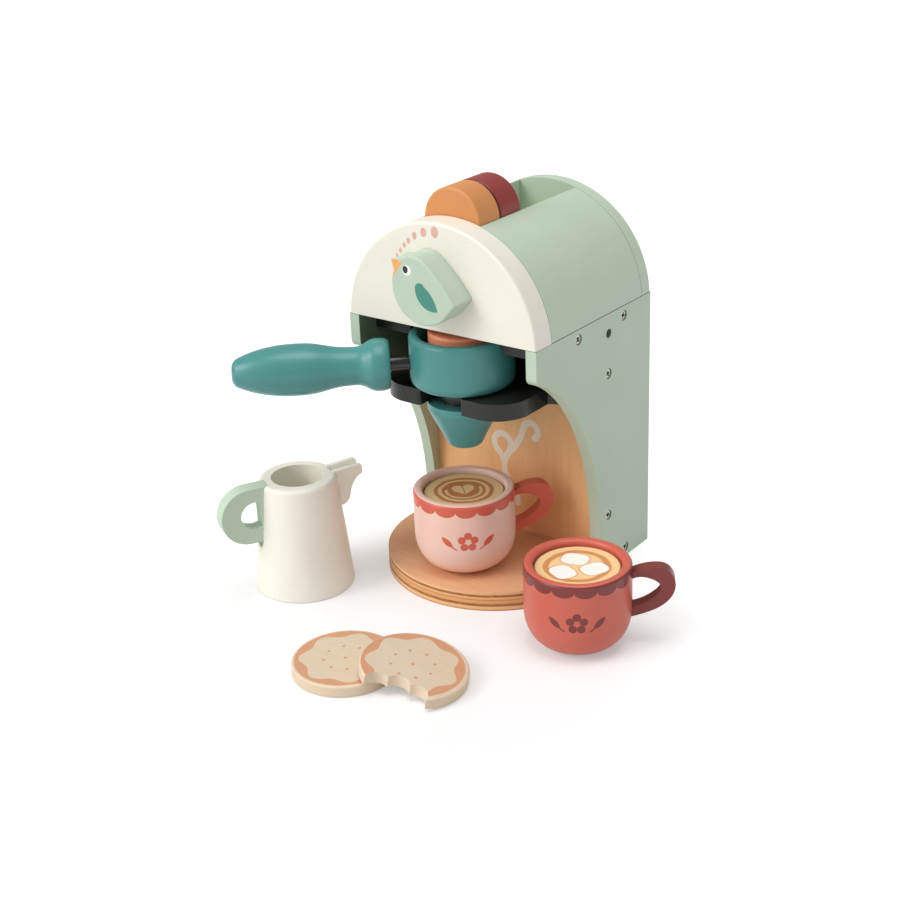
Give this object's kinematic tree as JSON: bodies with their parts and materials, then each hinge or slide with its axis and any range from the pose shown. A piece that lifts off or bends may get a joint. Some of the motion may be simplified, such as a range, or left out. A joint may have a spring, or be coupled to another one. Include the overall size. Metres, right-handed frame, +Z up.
{
  "type": "toy coffee maker",
  "caption": "Wooden toy espresso machine with a sliding, swivelling portafilter, a bird-shaped release knob, play capsules, cups, a milk jug and biscuits.",
  "frame": {"origin": "middle of the machine's footprint, on the surface that it stands on", "axes": "+X to the machine's right seen from its front, +Y to its back, +Z up"},
  "size_m": [0.253, 0.2523, 0.241],
  "materials": {
    "sage_paint": "satin painted wood, pale sage green",
    "cream_paint": "satin painted wood, cream",
    "bare_wood": "clear-lacquered pale wood",
    "plywood": "clear-lacquered birch plywood with its plies showing at the edge",
    "black_paint": "satin painted wood, charcoal black",
    "teal_paint": "satin painted wood, deep teal",
    "orange_paint": "satin painted wood, soft orange",
    "maroon_paint": "satin painted wood, maroon",
    "coral_paint": "satin painted wood, coral",
    "pink_paint": "satin painted wood, pale pink",
    "red_paint": "satin painted wood, brick red",
    "dark_red_paint": "satin painted wood, dark red",
    "biscuit_wood": "clear-lacquered pale wood with a printed brown rim",
    "zinc_steel": "zinc-plated steel screws with a cross recess"
  },
  "bodies": {
    "machine": {"tray_base": "plywood", "side_panel_left": "sage_paint", "side_panel_right": "sage_paint", "splash_board": "bare_wood", "head_base": "sage_paint", "fascia": "cream_paint", "head_shell_left": "sage_paint", "head_shell_right": "sage_paint", "rear_arch": "sage_paint", "slot_cheek_left": "sage_paint", "slot_cheek_right": "sage_paint", "capsule_rail": "sage_paint", "side_screws": "zinc_steel", "fork_screws": "zinc_steel", "head_dowels": "bare_wood", "filter_fork": "black_paint"},
    "bird_knob": {"bird_knob": "sage_paint", "knob_axle": "bare_wood", "release_gate": "sage_paint"},
    "portafilter_slide": {"spout_cone": "teal_paint", "filter_pin": "bare_wood"},
    "portafilter": {"filter_bowl": "teal_paint", "handle_rod": "black_paint", "filter_handle": "teal_paint", "capsule_coral": "coral_paint"},
    "orange_capsule": {"capsule_orange": "orange_paint"},
    "maroon_capsule": {"capsule_maroon": "maroon_paint"},
    "pink_cup": {"pink_cup_body": "pink_paint", "pink_cup_ear": "coral_paint"},
    "pink_drink": {"pink_cup_drink": "biscuit_wood"},
    "red_cup": {"red_cup_body": "red_paint", "red_cup_ear": "dark_red_paint"},
    "red_drink": {"red_cup_drink": "biscuit_wood"},
    "milk_jug": {"jug_body": "cream_paint", "jug_spout": "cream_paint", "jug_ear": "sage_paint"},
    "whole_biscuit": {"biscuit_whole": "biscuit_wood"},
    "bitten_biscuit": {"biscuit_bitten": "biscuit_wood"}
  },
  "joints": [
    {"name": "knob_turn", "type": "hinge", "parent": "machine", "child": "bird_knob", "pos_m": [0, -0.0603, 0.17835], "axis": [0, -1, 0], "range_deg": [0, 90]},
    {"name": "filter_slide", "type": "slide", "parent": "machine", "child": "portafilter_slide", "axis": [0, -1, 0], "range_m": [0, 0.06]},
    {"name": "filter_swivel", "type": "hinge", "parent": "portafilter_slide", "child": "portafilter", "pos_m": [0, -0.0395, 0.1268], "axis": [0, 0, 1], "range_deg": [0, 96]},
    {"name": "orange_lift", "type": "slide", "parent": "machine", "child": "orange_capsule", "axis": [0, 0, 1], "range_m": [0, 0.045]},
    {"name": "maroon_lift", "type": "slide", "parent": "machine", "child": "maroon_capsule", "axis": [0, 0, 1], "range_m": [0, 0.045]},
    {"name": "pink_cup_slide", "type": "slide", "parent": "machine", "child": "pink_cup", "axis": [0, -1, 0], "range_m": [0, 0.03]},
    {"name": "pink_drink_lift", "type": "slide", "parent": "pink_cup", "child": "pink_drink", "axis": [0, 0, 1], "range_m": [0, 0.02]},
    {"name": "red_cup_lift", "type": "slide", "parent": "machine", "child": "red_cup", "axis": [0, 0, 1], "range_m": [0, 0.05]},
    {"name": "red_drink_lift", "type": "slide", "parent": "red_cup", "child": "red_drink", "axis": [0, 0, 1], "range_m": [0, 0.02]},
    {"name": "jug_lift", "type": "slide", "parent": "machine", "child": "milk_jug", "axis": [0, 0, 1], "range_m": [0, 0.045]},
    {"name": "biscuit_lift", "type": "slide", "parent": "machine", "child": "whole_biscuit", "axis": [0, 0, 1], "range_m": [0, 0.04]},
    {"name": "bitten_biscuit_lift", "type": "slide", "parent": "whole_biscuit", "child": "bitten_biscuit", "axis": [0, 0, 1], "range_m": [0, 0.04]}
  ]
}
